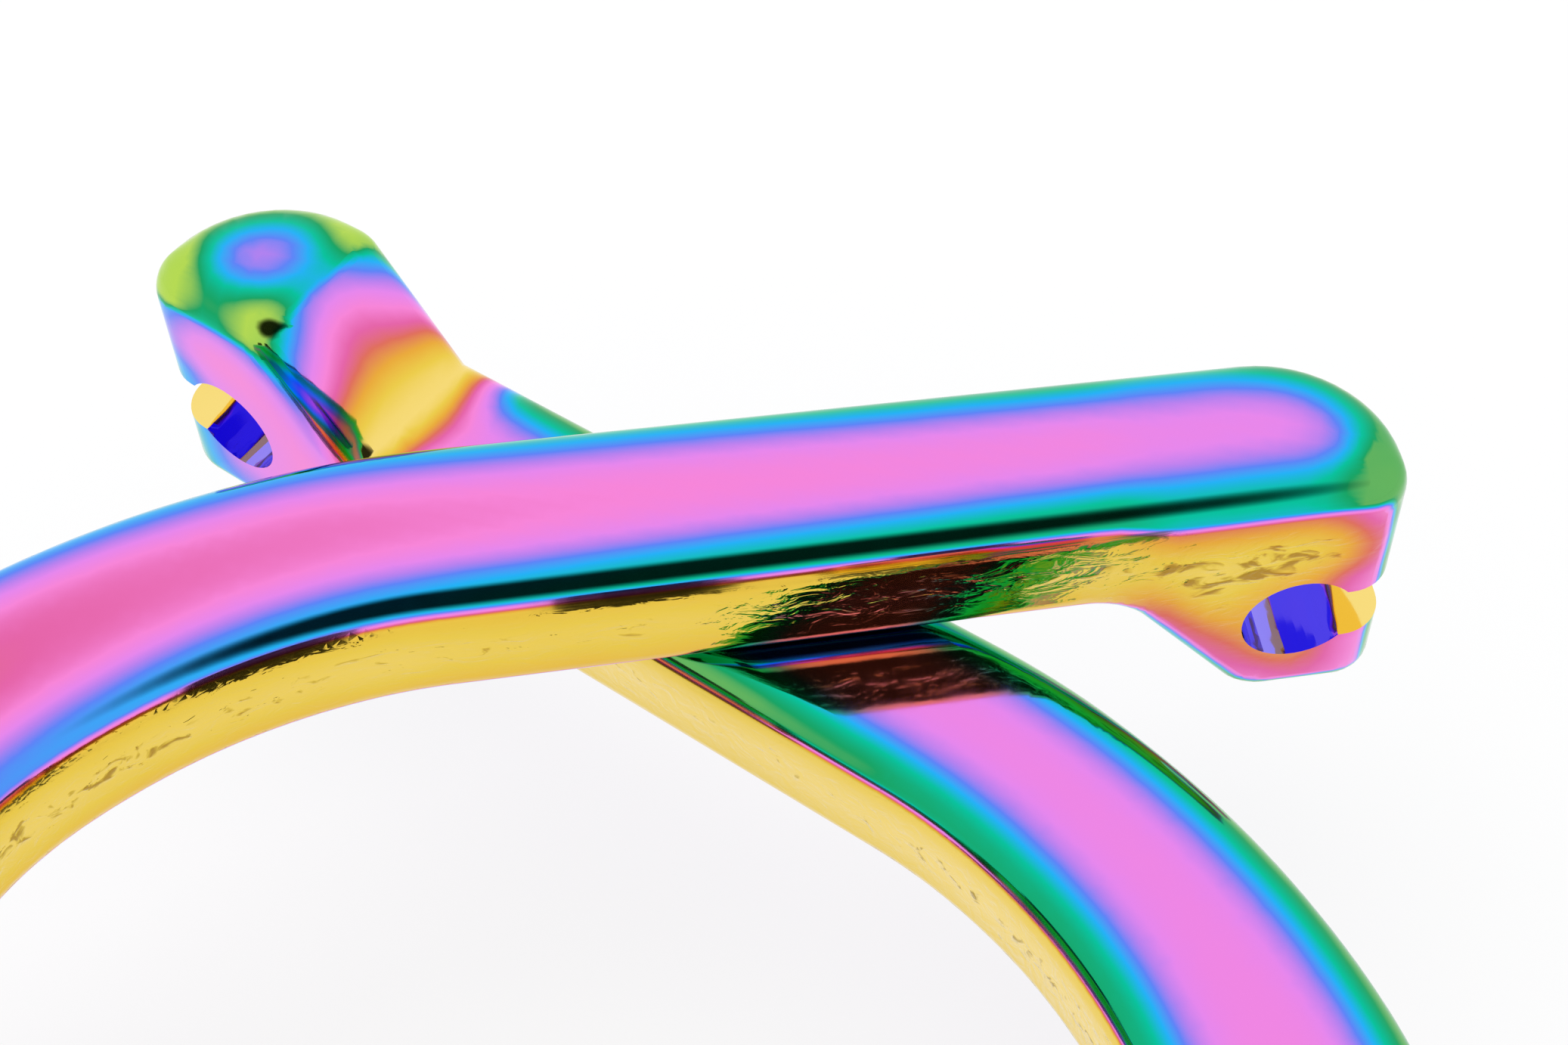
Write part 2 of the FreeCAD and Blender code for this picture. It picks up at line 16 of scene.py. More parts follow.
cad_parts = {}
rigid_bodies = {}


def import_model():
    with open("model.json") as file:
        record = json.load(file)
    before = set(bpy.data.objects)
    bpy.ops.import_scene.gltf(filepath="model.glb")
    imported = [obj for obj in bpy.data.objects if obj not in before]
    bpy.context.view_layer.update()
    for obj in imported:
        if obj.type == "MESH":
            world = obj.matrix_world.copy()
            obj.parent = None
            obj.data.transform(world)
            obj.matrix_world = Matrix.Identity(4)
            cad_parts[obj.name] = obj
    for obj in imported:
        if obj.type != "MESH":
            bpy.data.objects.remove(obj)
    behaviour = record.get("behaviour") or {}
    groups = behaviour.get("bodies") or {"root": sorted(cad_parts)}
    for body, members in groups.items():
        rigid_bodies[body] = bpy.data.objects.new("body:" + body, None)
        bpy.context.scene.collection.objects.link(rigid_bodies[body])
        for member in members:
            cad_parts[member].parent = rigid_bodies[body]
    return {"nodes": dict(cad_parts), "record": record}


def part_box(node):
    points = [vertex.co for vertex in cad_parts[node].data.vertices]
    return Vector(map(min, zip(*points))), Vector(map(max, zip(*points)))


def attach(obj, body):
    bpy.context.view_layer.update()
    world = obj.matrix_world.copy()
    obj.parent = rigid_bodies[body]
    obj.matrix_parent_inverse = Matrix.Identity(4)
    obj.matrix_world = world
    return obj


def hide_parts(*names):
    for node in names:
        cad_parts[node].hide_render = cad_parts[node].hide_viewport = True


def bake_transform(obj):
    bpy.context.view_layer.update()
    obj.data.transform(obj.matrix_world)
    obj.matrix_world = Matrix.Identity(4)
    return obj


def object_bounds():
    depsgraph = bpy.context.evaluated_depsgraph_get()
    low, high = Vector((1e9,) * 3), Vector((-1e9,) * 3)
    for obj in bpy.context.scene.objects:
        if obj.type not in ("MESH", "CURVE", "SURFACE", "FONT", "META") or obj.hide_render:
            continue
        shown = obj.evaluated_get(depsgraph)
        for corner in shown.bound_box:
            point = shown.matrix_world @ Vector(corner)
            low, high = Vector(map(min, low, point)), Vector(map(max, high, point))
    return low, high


for startup_object in list(bpy.data.objects):
    bpy.data.objects.remove(startup_object, do_unlink=True)
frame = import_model()
CAD_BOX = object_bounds()

MM = 0.001
WELD = 1e-7
MERGE = 10 * WELD
WHITE = (1, 1, 1, 1)
ROUND_PROFILE = 0.5
FINE_SPAN = 0.3
SHADE_LAYER = "smooth_direction"
LOG = logging.getLogger("u_brake")


class Side(Enum):
    """The two halves of the brake, as seen from the front."""

    LEFT = "left"
    RIGHT = "right"


class Layer(Enum):
    """The values that a refined arm carries for its film."""

    FACE = "face_film"
    SIDE = "side_film"
    LEAN = "lean"
    PEEL = "peel"


class Effect(Enum):
    """Names of the shader node groups that several finishes share."""

    MOTTLE = "surface_mottle"
    HAIRLINES = "fine_hairlines"


@dataclass(frozen=True)
class Shade:
    """A colour as hue in degrees, saturation and value, as read from a picture."""

    hue: float
    saturation: float
    value: float

    def linear(self) -> tuple[float, float, float, float]:
        """Scene-linear red, green, blue and alpha of this colour."""
        red, green, blue = colorsys.hsv_to_rgb(self.hue / 360 % 1, self.saturation, self.value)
        colour = Color((red, green, blue)).from_srgb_to_scene_linear()
        return (colour.r, colour.g, colour.b, 1.0)


class Board:
    """A node tree with short calls to add and join nodes."""

    def __init__(self, tree: bpy.types.NodeTree) -> None:
        """Keep the tree that the nodes go into.

        Args:
            tree: Tree of a material, a world or a node group.
        """
        self.tree = tree

    def add(self, kind: str, inputs: dict | None = None, **settings: object) -> bpy.types.Node:
        """Add a node.

        Args:
            kind: Blender's name of the node type, without its ShaderNode prefix.
            inputs: Values or output sockets by input name or index.
            settings: Properties of the node itself.

        Returns:
            The new node.
        """
        prefix = "" if kind.startswith("Node") else "ShaderNode"
        node = self.tree.nodes.new(prefix + kind)
        for name, value in settings.items():
            setattr(node, name, value)
        for name, value in (inputs or {}).items():
            if isinstance(value, bpy.types.NodeSocket):
                self.tree.links.new(value, node.inputs[name])
            else:
                node.inputs[name].default_value = value
        return node

    def maths(
        self, operation: str, first: object, second: object = 0.0, clamp: bool = False,
    ) -> bpy.types.NodeSocket:
        """Join one or two values by a Math node.

        Args:
            operation: Name of the operation.
            first: First value or socket.
            second: Second value or socket.
            clamp: Whether the result is kept from 0 to 1.

        Returns:
            The result's socket.
        """
        inputs = {0: first, 1: second}
        return self.add("Math", inputs, operation=operation, use_clamp=clamp).outputs[0]

    def fade(
        self, value: object, start: float, end: float, low: float = 0.0, high: float = 1.0,
    ) -> bpy.types.NodeSocket:
        """Map a value smoothly from one range to another.

        Args:
            value: Value or socket.
            start: Value that gives the low result.
            end: Value that gives the high result.
            low: Result at the start.
            high: Result at the end.

        Returns:
            The result's socket.
        """
        inputs = {"Value": value, "From Min": start, "From Max": end, "To Min": low, "To Max": high}
        return self.add("MapRange", inputs, interpolation_type="SMOOTHSTEP").outputs["Result"]

    def ramp(self, value: object, stops: Sequence[tuple[float, Shade]]) -> bpy.types.NodeSocket:
        """Map a value to a colour.

        Args:
            value: Value or socket from 0 to 1.
            stops: Places and colours along the ramp.

        Returns:
            The colour's socket.
        """
        node = self.add("ValToRGB", {"Fac": value})
        elements = node.color_ramp.elements
        while len(elements) < len(stops):
            elements.new(1.0)
        for element, (place, shade) in zip(elements, stops):
            element.position = place
            element.color = shade.linear()
        return node.outputs["Color"]

    def noise(
        self, vector: object, scale: object, detail: float = 3.0, distortion: float = 0.0,
    ) -> bpy.types.NodeSocket:
        """Add a cloudy noise.

        Args:
            vector: Coordinates.
            scale: Patches per metre, as a value or socket.
            detail: Number of finer layers.
            distortion: How far the patches are pulled about.

        Returns:
            The noise value's socket.
        """
        inputs = {"Vector": vector, "Scale": scale, "Detail": detail, "Distortion": distortion}
        return self.add("TexNoise", inputs).outputs["Fac"]

    def stretched(
        self, vector: object, scale: tuple[float, float, float], turn: float = 0.0,
    ) -> bpy.types.NodeSocket:
        """Stretch coordinates, so that a pattern gets a direction.

        Args:
            vector: Coordinates.
            scale: Factors along the three axes.
            turn: Turn about Z, in radians, before stretching.

        Returns:
            The new coordinates' socket.
        """
        turned = self.add("VectorRotate", {"Vector": vector, "Angle": turn}, rotation_type="Z_AXIS")
        factors = {0: turned.outputs[0], 1: scale}
        return self.add("VectorMath", factors, operation="MULTIPLY").outputs[0]


class Effects:
    """The shared shader node groups, built once."""

    mottle_detail = 4.0
    line_detail = 5.0
    line_stretch = (1.0, 1.0, 14.0)

    def __init__(self) -> None:
        """Build every group."""
        self.groups = {Effect.MOTTLE: self.mottle(), Effect.HAIRLINES: self.hairlines()}

    @staticmethod
    def new_group(
        effect: Effect, inputs: Iterable[str], outputs: Iterable[str],
    ) -> tuple[Board, bpy.types.Node, bpy.types.Node]:
        """Start a group with a vector input, named values and named results.

        Args:
            effect: Which group.
            inputs: Names of the float inputs.
            outputs: Names of the float outputs.

        Returns:
            The group's board, its input node and its output node.
        """
        tree = bpy.data.node_groups.new(effect.value, "ShaderNodeTree")
        tree.interface.new_socket("Vector", in_out="INPUT", socket_type="NodeSocketVector")
        for names, direction in ((inputs, "INPUT"), (outputs, "OUTPUT")):
            for name in names:
                tree.interface.new_socket(name, in_out=direction, socket_type="NodeSocketFloat")
        board = Board(tree)
        return board, board.add("NodeGroupInput"), board.add("NodeGroupOutput")

    def mottle(self) -> bpy.types.NodeTree:
        """Build the cloudy unevenness of a surface.

        Returns:
            The group's tree, with a broad and a fine result around zero.
        """
        scales = {"Broad": "Broad Scale", "Fine": "Fine Scale"}
        board, given, result = self.new_group(Effect.MOTTLE, scales.values(), scales)
        for name, scale in scales.items():
            cloud = board.noise(given.outputs["Vector"], given.outputs[scale], self.mottle_detail)
            board.tree.links.new(board.maths("SUBTRACT", cloud, 0.5), result.inputs[name])
        return board.tree

    def hairlines(self) -> bpy.types.NodeTree:
        """Build fine straight lines such as turning and brushing leave.

        Returns:
            The group's tree, with the lines' height.
        """
        board, given, result = self.new_group(Effect.HAIRLINES, ("Scale",), ("Height",))
        drawn = board.stretched(given.outputs["Vector"], self.line_stretch)
        lines = board.noise(drawn, given.outputs["Scale"], self.line_detail)
        board.tree.links.new(lines, result.inputs["Height"])
        return board.tree

    def place(
        self, board: Board, effect: Effect, vector: bpy.types.NodeSocket, **values: float
    ) -> bpy.types.Node:
        """Put a group into a material.

        Args:
            board: The material's board.
            effect: Which group.
            vector: Coordinates for the group.
            values: Values of its inputs, with _ for a space in their names.

        Returns:
            The group's node.
        """
        inputs = {name.replace("_", " "): value for name, value in values.items()}
        return board.add("Group", {"Vector": vector, **inputs}, node_tree=self.groups[effect])


def new_material(name: str) -> tuple[bpy.types.Material, Board, bpy.types.Node, bpy.types.NodeSocket]:
    """Start a material with one Principled shader.

    Args:
        name: The material's name.

    Returns:
        The material, its board, its shader node and its object coordinates.
    """
    material = bpy.data.materials.new(name)
    material.use_nodes = True
    board = Board(material.node_tree)
    board.tree.nodes.clear()
    shader = board.add("BsdfPrincipled")
    output = board.add("OutputMaterial")
    board.tree.links.new(shader.outputs["BSDF"], output.inputs["Surface"])
    place = board.add("TexCoord").outputs["Object"]
    return material, board, shader, place


def vary_roughness(
    board: Board, shader: bpy.types.Node, clouds: bpy.types.Node, least: float, most: float,
) -> None:
    """Let a surface's roughness follow its fine mottle.

    Args:
        board: The material's board.
        shader: Its Principled shader.
        clouds: Its mottle group.
        least: Roughness of the smoothest spots.
        most: Roughness of the roughest spots.
    """
    rough = board.fade(clouds.outputs["Fine"], -FINE_SPAN, FINE_SPAN, least, most)
    board.tree.links.new(rough, shader.inputs["Roughness"])


@dataclass(frozen=True)
class FilmFinish:
    """Mirror metal under a thin film, whose colour runs with the film's thickness, with brown painted
    shade on its wrinkle marks.
    """

    name: str = "interference_film"
    roughness: float = 0.07
    smoother: float = 0.02
    rougher: float = 0.03
    broad_scale: float = 70.0
    fine_scale: float = 600.0
    cloud: float = 0.05
    fleck: float = 0.06
    # brown painted shade laid on the wrinkle marks, and how much of it is mixed in
    pit_painted_shade: Shade = Shade(36, 0.80, 0.42)
    pit_painted_shade_share: float = 0.55
    pit_start: float = 0.46
    pit_end: float = 0.58
    wrinkle_scale: float = 1000.0
    wrinkle_stretch: tuple[float, float, float] = (0.45, 1.0, 1.0)
    wrinkle_turn: float = -0.37
    wrinkle_pull: float = 0.8
    peel_depth: float = 0.25 * MM
    stops: tuple[tuple[float, Shade], ...] = (
        (0.00, Shade(46, 0.45, 0.99)),
        (0.10, Shade(48, 0.68, 0.93)),
        (0.19, Shade(38, 0.74, 0.92)),
        (0.28, Shade(8, 0.58, 0.88)),
        (0.36, Shade(328, 0.56, 0.90)),
        (0.46, Shade(316, 0.46, 0.97)),
        (0.56, Shade(296, 0.43, 0.93)),
        (0.64, Shade(268, 0.46, 0.94)),
        (0.71, Shade(225, 0.62, 0.97)),
        (0.78, Shade(200, 0.85, 0.97)),
        (0.85, Shade(168, 0.95, 0.76)),
        (0.92, Shade(152, 0.84, 0.64)),
        (1.00, Shade(76, 0.62, 0.86)),
    )

    def material(self, effects: Effects) -> bpy.types.Material:
        """Build the material.

        Args:
            effects: The shared node groups.

        Returns:
            The material, which reads the arm's layers.
        """
        made, board, shader, place = new_material(self.name)
        face, side, lean, peel = (
            board.add("Attribute", attribute_name=layer.value).outputs["Fac"] for layer in Layer)
        turned = board.fade(lean, 0.0, 1.0)
        film = board.add("Mix", {"Factor": turned, "A": side, "B": face}, data_type="FLOAT")
        clouds = effects.place(
            board, Effect.MOTTLE, place, Broad_Scale=self.broad_scale, Fine_Scale=self.fine_scale)
        drawn = board.stretched(place, self.wrinkle_stretch, self.wrinkle_turn)
        wrinkles = board.noise(drawn, self.wrinkle_scale, distortion=self.wrinkle_pull)
        height = board.maths("MULTIPLY", wrinkles, peel)
        # the wrinkle marks: the fleck below is a real shift of the film, the brown mixed in after it is
        # painted shade
        pit_marks_and_shade = board.fade(height, self.pit_start, self.pit_end)
        flecked = board.maths("ADD", film.outputs["Result"], board.maths("MULTIPLY", pit_marks_and_shade, self.fleck))
        drift = board.maths("MULTIPLY", clouds.outputs["Broad"], self.cloud)
        phase = board.maths("ADD", flecked, drift, clamp=True)
        # share of brown painted shade on the wrinkle marks
        share = board.maths("MULTIPLY", pit_marks_and_shade, self.pit_painted_shade_share)
        colours = {0: share, 6: board.ramp(phase, self.stops), 7: self.pit_painted_shade.linear()}
        colour = board.add("Mix", colours, data_type="RGBA")
        board.tree.links.new(colour.outputs[2], shader.inputs["Base Color"])
        bump = board.add("Bump", {"Height": height, "Distance": self.peel_depth, "Strength": 1.0})
        board.tree.links.new(bump.outputs["Normal"], shader.inputs["Normal"])
        shader.inputs["Metallic"].default_value = 1.0
        vary_roughness(
            board, shader, clouds, self.roughness - self.smoother, self.roughness + self.rougher)
        return made


@dataclass(frozen=True)
class SteelFinish:
    """Plated or blackened steel, or turned plastic, with fine lines and worn patches."""

    name: str
    shade: Shade
    worn: Shade
    roughness: float
    smoother: float = 0.06
    rougher: float = 0.08
    broad_scale: float = 160.0
    fine_scale: float = 1400.0
    wear_start: float = -0.16
    wear_end: float = 0.2
    line_scale: float = 500.0
    line_depth: float = 0.02 * MM
    metallic: float = 1.0

    def material(self, effects: Effects) -> bpy.types.Material:
        """Build the material.

        Args:
            effects: The shared node groups.

        Returns:
            The material.
        """
        made, board, shader, place = new_material(self.name)
        clouds = effects.place(
            board, Effect.MOTTLE, place, Broad_Scale=self.broad_scale, Fine_Scale=self.fine_scale)
        blend = board.fade(clouds.outputs["Broad"], self.wear_start, self.wear_end)
        stops = ((0.0, self.shade), (1.0, self.worn))
        board.tree.links.new(board.ramp(blend, stops), shader.inputs["Base Color"])
        vary_roughness(
            board, shader, clouds, self.roughness - self.smoother, self.roughness + self.rougher)
        lines = effects.place(board, Effect.HAIRLINES, place, Scale=self.line_scale)
        bump = board.add("Bump", {"Height": lines.outputs["Height"], "Distance": self.line_depth})
        board.tree.links.new(bump.outputs["Normal"], shader.inputs["Normal"])
        shader.inputs["Metallic"].default_value = self.metallic
        return made


@dataclass(frozen=True)
class RubberFinish:
    """Moulded compound: matt, finely pitted, dusty in patches."""

    name: str = "pad_compound"
    shade: Shade = Shade(220, 0.06, 0.13)
    dusty: Shade = Shade(30, 0.05, 0.26)
    least_rough: float = 0.62
    most_rough: float = 0.82
    broad_scale: float = 130.0
    fine_scale: float = 2600.0
    dust_start: float = -0.05
    dust_end: float = 0.3
    pit_depth: float = 0.10 * MM

    def material(self, effects: Effects) -> bpy.types.Material:
        """Build the material.

        Args:
            effects: The shared node groups.

        Returns:
            The material.
        """
        made, board, shader, place = new_material(self.name)
        clouds = effects.place(
            board, Effect.MOTTLE, place, Broad_Scale=self.broad_scale, Fine_Scale=self.fine_scale)
        dust = board.fade(clouds.outputs["Broad"], self.dust_start, self.dust_end)
        stops = ((0.0, self.shade), (1.0, self.dusty))
        board.tree.links.new(board.ramp(dust, stops), shader.inputs["Base Color"])
        vary_roughness(board, shader, clouds, self.least_rough, self.most_rough)
        bump = board.add("Bump", {"Height": clouds.outputs["Fine"], "Distance": self.pit_depth})
        board.tree.links.new(bump.outputs["Normal"], shader.inputs["Normal"])
        return made


def smooth_step(start: float, end: float, value: float) -> float:
    """Rise smoothly from 0 at the start to 1 at the end."""
    part = min(1.0, max(0.0, (value - start) / (end - start)))
    return part * part * (3 - 2 * part)


def finish_piece(
    mesh_data: bmesh.types.BMesh, name: str, material: bpy.types.Material, sharp: float,
) -> bpy.types.Object:
    """Turn a bmesh into a smooth-shaded object at the origin.

    Args:
        mesh_data: The shape, which is freed.
        name: Name of the object.
        material: Its finish.
        sharp: Angle in radians above which an edge stays sharp.

    Returns:
        The new object.
    """
    for face in mesh_data.faces:
        face.smooth = True
    for edge in mesh_data.edges:
        edge.smooth = not edge.is_manifold or edge.calc_face_angle() < sharp
    mesh = bpy.data.meshes.new(name)
    mesh_data.to_mesh(mesh)
    mesh_data.free()
    if "custom_normal" in mesh.attributes:
        mesh.attributes.remove(mesh.attributes["custom_normal"])
    mesh.materials.clear()
    mesh.materials.append(material)
    if SHADE_LAYER in mesh.attributes:
        directions = [corner.vector.normalized() for corner in mesh.attributes[SHADE_LAYER].data]
        mesh.attributes.remove(mesh.attributes[SHADE_LAYER])
        mesh.normals_split_custom_set(directions)
    piece = bpy.data.objects.new(name, mesh)
    bpy.context.scene.collection.objects.link(piece)
    return piece


@dataclass
class FilmArm:
    """One forged arm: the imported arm's surface, refined so that the film's colour can run over it."""

    side: Side
    front_film: float
    inner_film: float
    head_front_film: float
    head_inner_film: float
    bend_drift: float
    front: float
    crease_pull: float
    outer_film: float = 0.52
    back_film: float = 0.46
    slope_film: float = 0.44
    crease_film: float = 0.04
    bore_film: float = 0.68
    edge_gain: float = 0.50
    head_edge_gain: float = 0.40
    inner_edge_gain: float = 0.09
    head_inner_gain: float = 0.30
    bar_limit: float = 0.94
    edge_reach: float = 1.7 * MM
    edge_reaches: float = 3.0
    crease: float = 11.5 * MM
    slope_reach: float = 3.4 * MM
    foot_reach: float = 2.8 * MM
    slope_start: float = 0.45
    slope_end: float = 0.75
    bore: float = 3.65 * MM
    slot: float = 2.25 * MM
    slot_film: float = 0.03
    wall_share: float = 0.85
    inward_soft: float = 0.2
    side_lean: float = 0.30
    head_side_lean: float = 0.06
    lean_range: float = 0.32
    one_surface: float = 0.82
    level_share: float = 0.15
    bar_start: float = 16 * MM
    web: float = 8.7 * MM
    front_round: float = 2.4 * MM
    back_round: float = 1.5 * MM
    bar_rounds: int = 24
    head_rounds: int = 5
    neck: float = 14.5 * MM
    head_start: float = 13.0 * MM
    head_full: float = 8.0 * MM
    sharp_angle: float = math.radians(36)
    least_turn: float = math.radians(1)
    most_turn: float = math.radians(60)
    run: float = 102 * MM
    drift_power: float = 1.5
    pitch: float = 1.15 * MM
    sample_pitch: float = 0.8 * MM

    def __post_init__(self) -> None:
        """Read the cable seat's place, and the direction along the arm to its tip."""
        name = self.side.value + "_cable_seat"
        mount = next(m for m in frame["record"]["mounts"] if m["name"] == name)
        self.seat = Vector(mount["pos_m"])
        self.heading = Vector(mount["axis"]).cross(Vector((0, 0, 1)))
        if self.heading.x * (1 if self.side is Side.LEFT else -1) < 0:
            self.heading.negate()
        self.bore_line = Vector(mount["axis"])

    def node(self) -> str:
        """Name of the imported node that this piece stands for."""
        return self.side.value + "_arm"

    def past_seat(self, place: Vector) -> float:
        """How far a point lies past the cable seat, along the arm's straight run."""
        return (place - self.seat).dot(self.heading)

    def build(self) -> bmesh.types.BMesh:
        """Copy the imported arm, join its two solids, refine it and lay the film on it.

        Returns:
            The refined shape, with its layers and its smooth directions.
        """
        source = frame["nodes"][self.node()].data
        shape = bmesh.new()
        shape.from_mesh(source)
        shade = shape.loops.layers.float_vector.new(SHADE_LAYER)
        directions = iter(source.corner_normals)
        for face in shape.faces:
            for loop in face.loops:
                loop[shade] = next(directions).vector
        inside = [
            face for face in shape.faces
            if all(abs(self.past_seat(vert.co) + self.neck) < MERGE for vert in face.verts)
        ]
        bmesh.ops.delete(shape, geom=inside, context="FACES")
        bmesh.ops.remove_doubles(shape, verts=shape.verts, dist=MERGE)
        tree, weights = self.edge_samples(shape)
        self.refine(shape)
        self.even_out(shape)
        self.lay_film(shape, tree, weights)
        return shape

    def refine(self, shape: bmesh.types.BMesh) -> None:
        """Cut every wide face by planes along the three axes, so that the surface has close points."""
        for axis in range(3):
            self.slice_up(shape, axis)
        bmesh.ops.triangulate(shape, faces=[face for face in shape.faces if len(face.verts) > 3])

    def slice_up(self, shape: bmesh.types.BMesh, axis: int) -> None:
        """Cut the faces that are wide along one axis.

        Args:
            shape: The merged arm.
            axis: Number of the axis, from 0 to 2.
        """
        places = [vert.co[axis] for vert in shape.verts]
        low, high = min(places), max(places)
        count = math.ceil((high - low) / self.pitch)
        looking = [float(number == axis) for number in range(3)]
        wide = []
        for face in shape.faces:
            reach = [vert.co[axis] for vert in face.verts]
            if max(reach) - min(reach) > self.pitch:
                wide.append((min(reach), max(reach), face))
        for step in range(1, count):
            place = low + (high - low) * step / count
            crossing = [face for least, most, face in wide if least < place < most]
            wide = [entry for entry in wide if entry[0] >= place]
            geometry = {part for face in crossing for part in (face, *face.edges, *face.verts)}
            point = [place * part for part in looking]
            cut = bmesh.ops.bisect_plane(
                shape, geom=list(geometry), dist=WELD, plane_co=point, plane_no=looking)
            for face in cut["geom"]:
                if isinstance(face, bmesh.types.BMFace):
                    reach = [vert.co[axis] for vert in face.verts]
                    if max(reach) > place + WELD:
                        wide.append((min(reach), max(reach), face))

    def edge_samples(self, shape: bmesh.types.BMesh) -> tuple[KDTree, list[float]]:
        """Spread points along every bent edge.

        Args:
            shape: The merged arm.

        Returns:
            A tree of the points, and how much each one adds to the film.
        """
        points, weights = [], []
        for edge in shape.edges:
            if not edge.is_manifold:
                continue
            turn = edge.calc_face_angle_signed()
            on_crease = all(
                abs(self.past_seat(vert.co) + self.crease) < self.sample_pitch for vert in edge.verts)
            if abs(turn) < self.least_turn or (on_crease and turn < 0):
                continue
            turn = max(-self.most_turn, min(self.most_turn, turn))
            length = edge.calc_length()
            count = max(1, math.ceil(length / self.sample_pitch))
            start, end = (vert.co for vert in edge.verts)
            for step in range(count):
                points.append(start.lerp(end, (step + 0.5) / count))
                weights.append(turn / (math.pi / 2) * length / count)
        tree = KDTree(len(points))
        for index, point in enumerate(points):
            tree.insert(point, index)
        tree.balance()
        return tree, weights

    def on_bar(self, place: Vector) -> bool:
        """Tell whether a point belongs to the flat bar, or to the rim that goes on from it."""
        on_rim = not self.crease_pull and place.z > self.front - self.front_round
        return place.y > self.bar_start and (on_rim or self.past_seat(place) < -self.neck)

    def lean(self, place: Vector, normal: Vector) -> float:
        """Find how far a point of the bar looks to the front, by its depth in the rounded edge."""
        if normal.z > 0:
            return max(0.0, 1 - max(0.0, self.front - place.z) / self.front_round)
        return -max(0.0, 1 - max(0.0, place.z - self.front + self.web) / self.back_round)

    def even_out(self, shape: bmesh.types.BMesh) -> None:
        """Give the bar's rounded edges their true directions, and smooth those of the rest.

        Args:
            shape: The refined arm.
        """
        shade = shape.loops.layers.float_vector[SHADE_LAYER]
        facing = {}
        for vert in shape.verts:
            mean = sum((loop[shade] for loop in vert.link_loops), Vector()).normalized()
            if all(loop[shade].dot(mean) > self.one_surface for loop in vert.link_loops):
                facing[vert] = mean
        bar = {vert for vert in facing if self.on_bar(vert.co)}
        level = {
            vert: Vector((facing[vert].x, facing[vert].y, 0)).normalized() for vert in bar
            if 1 - facing[vert].z ** 2 > self.level_share ** 2
        }
        level = self.smoothed(level, self.bar_rounds)
        rest = {vert: mean for vert, mean in facing.items() if vert not in bar}
        facing.update(self.smoothed(rest, self.head_rounds))
        for vert, across in level.items():
            lean = self.lean(vert.co, facing[vert])
            sideways = across * math.sqrt(1 - lean * lean)
            facing[vert] = Vector((sideways.x, sideways.y, lean)).normalized()
        for vert, mean in facing.items():
            for loop in vert.link_loops:
                loop[shade] = mean

    def smoothed(
        self, field: dict[bmesh.types.BMVert, Vector], rounds: int,
    ) -> dict[bmesh.types.BMVert, Vector]:
        """Average a field of directions over neighbouring points that agree.

        Args:
            field: A direction for each point.
            rounds: How often each point takes the average.

        Returns:
            The smoothed directions.
        """
        around = {
            vert: [
                other for other in (edge.other_vert(vert) for edge in vert.link_edges)
                if other in field and field[other].dot(mean) > self.one_surface
            ]
            for vert, mean in field.items()
        }
        for _ in range(rounds):
            field = {
                vert: sum((field[other] for other in around[vert]), mean).normalized()
                for vert, mean in field.items()
            }
        return field

    def lay_film(self, shape: bmesh.types.BMesh, tree: KDTree, weights: Sequence[float]) -> None:
        """Store the film's thickness at every point: thick on edges, thin in the crease and inside.

        Args:
            shape: The refined arm.
            tree: Points along its bent edges.
            weights: What each of those points adds.
        """
        layers = [shape.loops.layers.float.new(layer.value) for layer in Layer]
        shade = shape.loops.layers.float_vector[SHADE_LAYER]
        share = 1 / (math.sqrt(2 * math.pi) * self.edge_reach)
        spread = 2 * self.edge_reach ** 2
        for vert in shape.verts:
            near = tree.find_range(vert.co, self.edge_reaches * self.edge_reach)
            bent = sum(weights[index] * math.exp(-gap * gap / spread) for _, index, gap in near)
            edge = max(0.0, share * bent)
            for loop in vert.link_loops:
                for layer, value in zip(layers, self.film_at(vert.co, loop[shade], edge)):
                    loop[layer] = value

    def film_at(self, place: Vector, normal: Vector, edge: float) -> tuple[float, float, float, float]:
        """Find the film at a point.

        Args:
            place: Point of the refined arm.
            normal: Where its surface looks.
            edge: How much bent edge lies round it.

        Returns:
            The values of the four layers, in the order of Layer.
        """
        away = place - self.seat
        past = self.past_seat(place)
        radial = away - away.dot(self.bore_line) * self.bore_line
        if radial.length < self.bore and normal.dot(radial.normalized()) < -self.wall_share:
            return self.bore_film, self.bore_film, 0.0, 0.0
        if past > 0 and abs(away.z) < self.slot and abs(normal.z) > self.wall_share:
            return self.slot_film, self.slot_film, 0.0, 0.0
        head = smooth_step(-self.head_start, -self.head_full, past)
        gain = self.edge_gain + head * (self.head_edge_gain - self.edge_gain)
        face = self.back_film if normal.z < 0 else self.front_at(past, normal, head)
        limit = self.bar_limit + self.crease_pull * head * (1 - self.bar_limit)
        face = min(limit, face + gain * edge)
        if normal.z > 0:
            across = past + self.crease
            reach = self.slope_reach if across > 0 else self.foot_reach
            face += self.crease_pull * math.exp(-(across / reach) ** 2) * (self.crease_film - face)
        outwards = normal.dot(Vector((place.x, place.y, 0)).normalized())
        inwards = smooth_step(self.inward_soft, -self.inward_soft, outwards)
        inner = self.inner_film + head * (self.head_inner_film - self.inner_film)
        inner += edge * (self.inner_edge_gain + head * (self.head_inner_gain - self.inner_edge_gain))
        outer = min(limit, self.outer_film + gain * edge)
        side = outer + inwards * (inner - outer)
        low = self.side_lean + head * (self.head_side_lean - self.side_lean)
        lean = (abs(normal.z) - low) / self.lean_range
        peel = inwards * max(0.0, 1 - edge) * smooth_step(self.side_lean, 0.0, abs(normal.z))
        peel *= 1 - self.crease_pull * head
        return face, side, lean, peel

